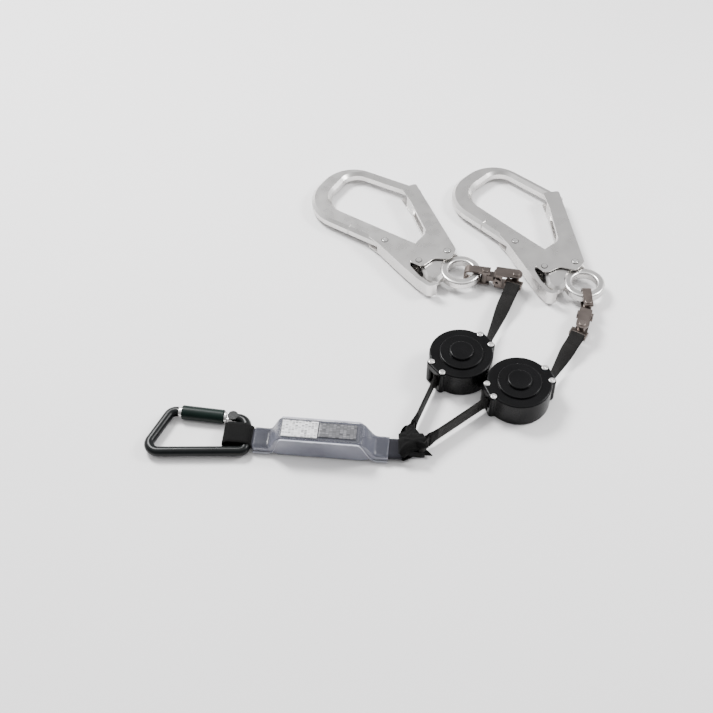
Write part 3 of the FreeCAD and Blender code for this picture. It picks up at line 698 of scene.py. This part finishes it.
def absorber_seals(place, material):
    """A thin sealed fin along each long edge: low on the tails, up the slopes, along the top; its paler film is
    partly a painted highlight along those edges.
    """
    for name, side in (("front", -1), ("rear", 1)):
        bm = bmesh.new()
        rings = []
        x = -COVER_HALF / MM
        while x <= COVER_HALF / MM + 0.01:
            half, _, high = cover_section(x)
            rise = smoothstep(x, -52.0, -40.0) * (1 - smoothstep(x, 37.5, 60.0))
            level = 3.6 + (high - 1.3 - 3.6) * rise + 0.25 * noise.noise(Vector((x * 0.2, side, 0)))
            reach = half - 0.6 + 0.35 * rise
            width = 2.3 - 0.5 * rise + 0.3 * noise.noise(Vector((x * 0.35, side, 4)))
            droop = 0.45 * noise.noise(Vector((x * 0.16, side, 8)))
            ring = []
            for y, z in ((reach, level + 0.2), (reach + width, level + droop + 0.12),
                         (reach + width, level + droop - 0.12), (reach, level - 0.2)):
                ring.append(bm.verts.new(place @ Vector((x * MM, side * y * MM, z * MM))))
            rings.append(ring)
            x += SECTION_STEP
        for a, b in zip(rings, rings[1:]):
            for k in range(4):
                n = (k + 1) % 4
                bm.faces.new((a[k], a[n], b[n], b[k]))
        bm.faces.new(rings[0])
        bm.faces.new(rings[-1])
        finish_mesh(f"absorber_seal_{name}", bm, material, "root", ())


def absorber_pack(place, material, cloth):
    """The folded tear webbing, its layers showing at the sides, and the two tails it ends in."""
    sections = []
    for i in range(42):
        x = PACK_REACH * (2 * i / 41 - 1)
        end = max(0.0, min(1.0, (PACK_REACH - abs(x)) / 3.0))
        ring = []
        for y, z in rounded_section(11.0 + 1.0 * end ** 0.5, 2.2, 27.4 + end ** 0.5, 2.0, 96):
            layer = 0.16 * math.sin(z * 2 * math.pi / 1.9) * (1 if abs(y) > 9 else 0)
            ring.append((y - math.copysign(layer, y), z))
        sections.append((x, ring))
    bm = lofted(sections, place, True)
    finish_mesh("absorber_pack", bm, material, "root", ("absorber_webbing",))
    across = (place.to_3x3() @ Vector((0, 1, 0))).normalized()
    for name, ends in (("front", (-71.5, -36)), ("rear", (36, 84))):
        line = []
        for k in range(24):
            x = ends[0] + (ends[1] - ends[0]) * k / 23
            z = 7.4 + 0.25 * math.sin(x * 0.35)
            line.append(place @ Vector((x * MM, 0, z * MM)))
        bm = ribbon_mesh(frames_across(line, across), TAIL_WIDTH, TAIL_THICK)
        finish_mesh(f"absorber_tail_{name}", bm, cloth, "root")


def form_sheet(name, place, material, spread, under, node=None):
    """A printed sheet that follows the cover's top, or its underside."""
    bm = bmesh.new()
    uv = bm.loops.layers.uv.new("UVMap")
    columns, rows = 26, 14
    x0, x1, y0, y1 = spread
    grid = []
    for j in range(rows + 1):
        line = []
        for i in range(columns + 1):
            x, y = x0 + (x1 - x0) * i / columns, y0 + (y1 - y0) * j / rows
            half, _, high = cover_section(x)
            drop = (abs(y) / half) ** 6 * 0.7
            wave = 0.08 * noise.noise(Vector((x * 0.2, y * 0.2, 0)))
            z = 1.2 + drop + wave if under else high + 0.16 - drop + wave
            vert = bm.verts.new(place @ Vector((x * MM, y * MM, z * MM)))
            line.append((vert, ((x - x0) * MM, (y - y0) * MM)))
        grid.append(line)
    for j in range(rows):
        for i in range(columns):
            corners = (grid[j][i], grid[j][i + 1], grid[j + 1][i + 1], grid[j + 1][i])
            face = bm.faces.new([vert for vert, _ in corners])
            for loop, (_, spot) in zip(face.loops, corners):
                loop[uv].uv = spot
    piece = finish_mesh(name, bm, material, "root", (node,) if node else ())
    wall = piece.modifiers.new("wall", "SOLIDIFY")
    wall.thickness = SHEET_WALL
    wall.offset = 0
    return piece


def front_loop(place, cloth):
    """The webbing folded round the carabiner's bar, and the sleeve that guards it."""
    across = (place.to_3x3() @ Vector((0, 1, 0))).normalized()
    for name, cad, grow, width, thick in (
        ("loop", "absorber_front_loop", 0.5, 25.0, 0.9),
        ("guard", "absorber_loop_guard", 1.15, 25.4, 0.75),
    ):
        half = LOOP_BEND_R + grow
        low, high = TAIL_MID_Z - half, TAIL_MID_Z + half
        line = [(-71.3, 7.8 + grow), (-73.0, 8.6 + grow), (-77, high - 0.8), (-84, high)]
        for k in range(13):
            angle = math.radians(90 + 180 * k / 12)
            line.append((LOOP_BEND_X + half * math.cos(angle), TAIL_MID_Z + half * math.sin(angle)))
        line += [(-84, low), (-77, low + 0.8), (-73.0, 6.4 - grow), (-71.3, 7.2 - grow)]
        points = smooth_line([place @ Vector((x * MM, LOOP_SHIFT, z * MM)) for x, z in line], 0.8 * MM)
        bm = ribbon_mesh(frames_across(points, across), width * MM, thick * MM)
        finish_mesh(f"front_{name}", bm, cloth, "root", (cad,))


def folded_flap(name, outline, level, away, fall, cloth, replaced, seed):
    """A webbing end folded over the posts: creased towards its middle, its free edges drooping."""
    corners = [(Vector((x * MM, y * MM, 0)), droop) for x, y, droop in outline]
    crisp = []
    for i, (corner, _) in enumerate(corners):
        before, after = corners[i - 1][0], corners[(i + 1) % len(corners)][0]
        crisp += [corner.lerp(before, 0.16), corner, corner.lerp(after, 0.16)]
    rim = smooth_line(crisp, 0.9 * MM, closed=True)
    centre = sum(rim, Vector()) / len(rim)
    bm = bmesh.new()
    uv = bm.loops.layers.uv.new("UVMap")
    rings, count = [], 14
    for r in range(count + 1):
        share = r / count
        ring = []
        for p in rim:
            spot = centre.lerp(p, share)
            near = [(1 / ((p - corner).length + 0.5 * MM) ** 2, droop) for corner, droop in corners]
            droop = sum(w * d for w, d in near) / sum(w for w, _ in near)
            angle = math.atan2(p.y - centre.y, p.x - centre.x)
            pleat = abs(math.sin(angle * 3.5 + seed)) * 0.8 * share
            crease = abs(noise.noise(Vector((spot.x * 110, spot.y * 170, seed)))) * 0.9
            z = level - away * (0.5 + crease + pleat + fall * droop * share ** 3) * MM
            ring.append(bm.verts.new((spot.x, spot.y, z)))
        rings.append(ring)
    for a, b in zip(rings, rings[1:]):
        for k in range(len(a)):
            n = (k + 1) % len(a)
            face = bm.faces.new((a[k], a[n], b[n], b[k]))
            for loop in face.loops:
                loop[uv].uv = (loop.vert.co.x, loop.vert.co.y)
    bmesh.ops.remove_doubles(bm, verts=bm.verts, dist=1e-6)
    piece = finish_mesh(name, bm, cloth, "root", replaced)
    wall = piece.modifiers.new("wall", "SOLIDIFY")
    wall.thickness = FLAP_WALL
    wall.offset = 0


def joint_wrap(cloth):
    """The rear webbing, split in two: each half wraps a post and folds over the other."""
    posts = {n: joint_at(f"leg_swing_{n}") for n in (1, 2)}
    one, two = posts[1] / MM, posts[2] / MM
    low, high = (Vector(corner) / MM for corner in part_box("joint_loop"))
    middle = (low.z + high.z) / 2
    tall = high.z - low.z
    # the folds' outlines, in mm: x, y and how far the edge droops there
    first = [
        (low.x + 0.4, one.y - 3.5, 6.0),
        (one.x - 6.3, one.y + 1.0, 7.0),
        (one.x - 2.6, one.y + 5.8, 3.0),
        (one.x + 3.6, one.y + 4.6, 0.2),
        (one.x + 6.2, one.y - 1.5, 0.2),
        (two.x + 0.5, two.y + 5.2, 0.4),
        (two.x - 3.0, two.y - 3.0, 3.5),
        (low.x + 0.8, low.y + 1.2, 7.0),
    ]
    second = [
        (low.x + 0.2, one.y - 9.5, 7.0),
        (one.x + 0.5, one.y - 4.2, 0.8),
        (two.x + 1.2, two.y + 7.0, 0.2),
        (high.x - 1.6, two.y + 2.0, 1.0),
        (high.x + 0.8, two.y - 5.6, 7.0),
        (two.x - 3.5, two.y - 6.2, 11.0),
        (low.x + 5.0, low.y - 0.4, 11.0),
        (low.x + 0.2, low.y + 3.0, 9.0),
    ]
    under = second[:4] + [(high.x + 5.5, two.y - 7.2, 2.0)] + second[5:]
    folded_flap("joint_flap_upper", first, (high.z - 0.9) * MM, 1, 1.0, cloth, ("joint_loop",), 0.6)
    folded_flap("joint_flap_over", second, (high.z + 0.5) * MM, 1, 1.0, cloth, (), 2.3)
    folded_flap("joint_flap_lower", first, (low.z + 0.9) * MM, -1, 0.3, cloth, (), 3.1)
    folded_flap("joint_flap_under", under, (low.z - 0.3) * MM, -1, 0.3, cloth, (), 5.2)
    back = [
        (one.x + 1.0, one.y + 5.0),
        (one.x - 5.2, one.y + 4.0),
        (low.x + 3.0, one.y - 2.0),
        (low.x + 2.2, (low.y + high.y) / 2),
        (low.x + 2.6, low.y + 6.5),
        (two.x - 11.0, low.y + 3.2),
        (two.x - 4.0, low.y + 1.9),
        (two.x + 0.2, low.y + 1.5),
        (two.x + 2.6, low.y + 2.0),
    ]
    cross = [
        (low.x + 4.0, low.y + 8.0),
        (one.x - 4.0, one.y - 9.0),
        (one.x - 4.6, one.y - 2.0),
        (one.x - 1.2, one.y + 3.6),
        (one.x + 3.4, one.y + 2.6),
        (one.x + 4.2, one.y - 3.0),
        (two.x - 4.4, two.y + 3.2),
        (two.x - 4.6, two.y - 1.6),
        (two.x - 1.0, two.y - 4.4),
    ]
    for name, thick, line in (("back", 1.6, back), ("cross", 1.5, cross)):
        points = smooth_line([Vector((x, y, middle)) * MM for x, y in line], 1.0 * MM)
        bm = ribbon_mesh(frames_across(points, UP), (tall - 4.6) * MM, thick * MM, gather=0.55)
        finish_mesh(f"joint_{name}_wrap", bm, cloth, "root", ())
    for n, post in posts.items():
        centre = Vector((post.x, post.y, middle * MM))
        line = [centre + turned(Vector((2.55 * MM, 0, 0)), k * math.pi / 12) for k in range(24)]
        bm = ribbon_mesh(frames_across(line, UP, True), (tall - 4.2) * MM, 1.2 * MM, closed=True)
        finish_mesh(f"joint_bight_{n}", bm, cloth, "root", ())


# ---- metal and plastic pieces kept from the CAD ----
def rivet_shade_rings(material):
    """Painted shade round each rivet head on both faces of a hook: a dark, slightly raised ring where the head's
    edge falls in shade.
    """
    angle = math.atan2(HOOK_LEVER_FROM_GATE[1], HOOK_LEVER_FROM_GATE[0])
    for n in (1, 2):
        gate, lever = joint_at(f"hook_gate_open_{n}"), joint_at(f"hook_lever_squeeze_{n}")
        axis = Vector(JOINTS[f"hook_gate_open_{n}"]["axis"]).normalized()
        ahead = Matrix.Rotation(-angle, 3, axis) @ (lever - gate).normalized()
        aside = axis.cross(ahead)
        for k, (x, y, head, level) in enumerate(HOOK_RIVETS):
            centre = gate + ahead * (x - HOOK_GATE_RIVET[0]) * MM + aside * (y - HOOK_GATE_RIVET[1]) * MM
            for face in (1, -1):
                bm = bmesh.new()
                rings = []
                for wider, lift in ((0.03, 0.0), (0.06, 0.26), (0.62, 0.26), (0.8, 0.0)):
                    ring = []
                    for a in range(SHADE_RING_SIDES):
                        turn = 2 * math.pi * a / SHADE_RING_SIDES
                        out = (ahead * math.cos(turn) + aside * math.sin(turn)) * (head + wider)
                        ring.append(bm.verts.new(centre + (out + axis * face * (level + lift)) * MM))
                    rings.append(ring)
                for i in range(4):
                    for a in range(SHADE_RING_SIDES):
                        b = (a + 1) % SHADE_RING_SIDES
                        after = rings[(i + 1) % 4]
                        bm.faces.new((rings[i][a], rings[i][b], after[b], after[a]))
                body = f"hook_{n}" if k == 2 else f"hook_gate_{n}"
                name = f"hook_{n}_collar_{k}_{'top' if face > 0 else 'under'}"
                finish_mesh(name, bm, material, body, ())


def dress_cad():
    """Materials for the pieces kept from the CAD, and soft edges on the moulded ones."""
    steel = metal("zinc_steel", (0.70, 0.69, 0.68), 0.28)
    aluminium = metal("forged_aluminium", (0.69, 0.675, 0.66), 0.27, 700.0, 0.10)
    plated = metal("plated_steel", (0.20, 0.17, 0.155), 0.30, 800.0, 0.45)
    coated = plastic("black_coating", (0.0022, 0.0029, 0.0030), 0.30, 1200.0, 0.18)
    sleeve = plastic("green_sleeve_plastic", (0.0018, 0.0060, 0.0046), 0.40, 1500.0, 0.14)
    shell = plastic("reel_shell_plastic", (0.0020, 0.0020, 0.0022), 0.27, 1500.0, 0.12)
    grey = plastic("drum_plastic", (0.03, 0.03, 0.03), 0.45)
    coil = webbing("coil_webbing", (0.035, 0.034, 0.033))
    looks = {
        "hook_aluminium": aluminium,
        "connector_steel": plated,
        "pin_steel": steel,
        "black_steel": coated,
        "green_sleeve": sleeve,
        "reel_plastic": shell,
        "drum_plastic": grey,
        "strap_webbing": coil,
    }
    for part in frame["record"]["subparts"]:
        look = looks.get(part["material_slot"])
        if look is None:
            continue
        piece = frame["nodes"][part["node"]]
        for slot in piece.material_slots:
            slot.material = look
        if part["material_slot"] in ROUNDED:
            soft = piece.modifiers.new("soft_edges", "BEVEL")
            soft.width = ROUNDED[part["material_slot"]] * MM
            soft.segments = 2
            soft.angle_limit = math.radians(50)
            soft.harden_normals = True


def floor():
    """The paper that the lanyard lies on, just under its lowest points."""
    bm = bmesh.new()
    reach = 6.0
    bm.faces.new([bm.verts.new((x * reach, y * reach, 0)) for x, y in ((-1, -1), (1, -1), (1, 1), (-1, 1))])
    mesh = bpy.data.meshes.new("floor")
    bm.to_mesh(mesh)
    bm.free()
    piece = bpy.data.objects.new("floor", mesh)
    piece.location.z = -0.0002
    piece.data.materials.append(floor_paper())
    bpy.context.collection.objects.link(piece)


camera_and_light()
floor()
dress_cad()
# dark rings round the rivet heads: painted shade at the heads' edges
rivet_shade_rings(metal("rivet_shadow_steel", (0.055, 0.053, 0.050), 0.45))
strap_cloth = webbing("strap_cloth", (0.0085, 0.0080, 0.0076), 1.1 * MM)
leg_cloth = webbing("leg_cloth", (0.017, 0.0162, 0.0155), 1.3 * MM, 0.05)
black_cloth = webbing("black_cloth", (0.0024, 0.0024, 0.0024), 1.4 * MM, 0.01)
tail_cloth = webbing("tail_cloth", (0.020, 0.020, 0.025), 1.4 * MM, 0.02)
thread_cloth = webbing("thread_cloth", (0.022, 0.022, 0.021), 0.6 * MM, 0.02)
for number in (1, 2):
    retracting_strap(number, strap_cloth, thread_cloth)
    leg(number, leg_cloth, black_cloth, thread_cloth)
absorber = absorber_place()
absorber_film(absorber, film())
absorber_seals(absorber, seal_and_highlight_film())
absorber_pack(absorber, pack_facing_tone(), tail_cloth)
white_form = ruled_form(
    "label_paper",
    paper=(0.66, 0.66, 0.66),
    shadow=(0.05, 0.05, 0.055),
    rule=(0.60, 0.60, 0.61),
    size=(0.0033, 0.0019),
    line=0.00040,
    rough=0.28,
)
grey_form = ruled_form(
    "panel_print",
    paper=(0.020, 0.020, 0.024),
    shadow=(0.13, 0.13, 0.14),
    rule=(0.035, 0.035, 0.04),
    size=(0.0036, 0.0022),
    line=0.00040,
    rough=0.3,
)
amber_form = ruled_form(
    "amber_label",
    paper=(0.75, 0.36, 0.10),
    shadow=(0.70, 0.32, 0.09),
    rule=(0.35, 0.18, 0.07),
    size=(0.0122, 0.0041),
    line=0.00025,
    rough=0.35,
)
form_sheet("label_sheet", absorber, white_form, (-40.0, -3.0, -10.2, 10.4), False, "absorber_label")
form_sheet("panel_sheet", absorber, grey_form, (-2.4, 36.5, -8.6, 9.6), False)
form_sheet("underside_sheet", absorber, amber_form, (-26.0, 12.0, -9.6, 9.6), True)
front_loop(absorber, black_cloth)
joint_wrap(black_cloth)
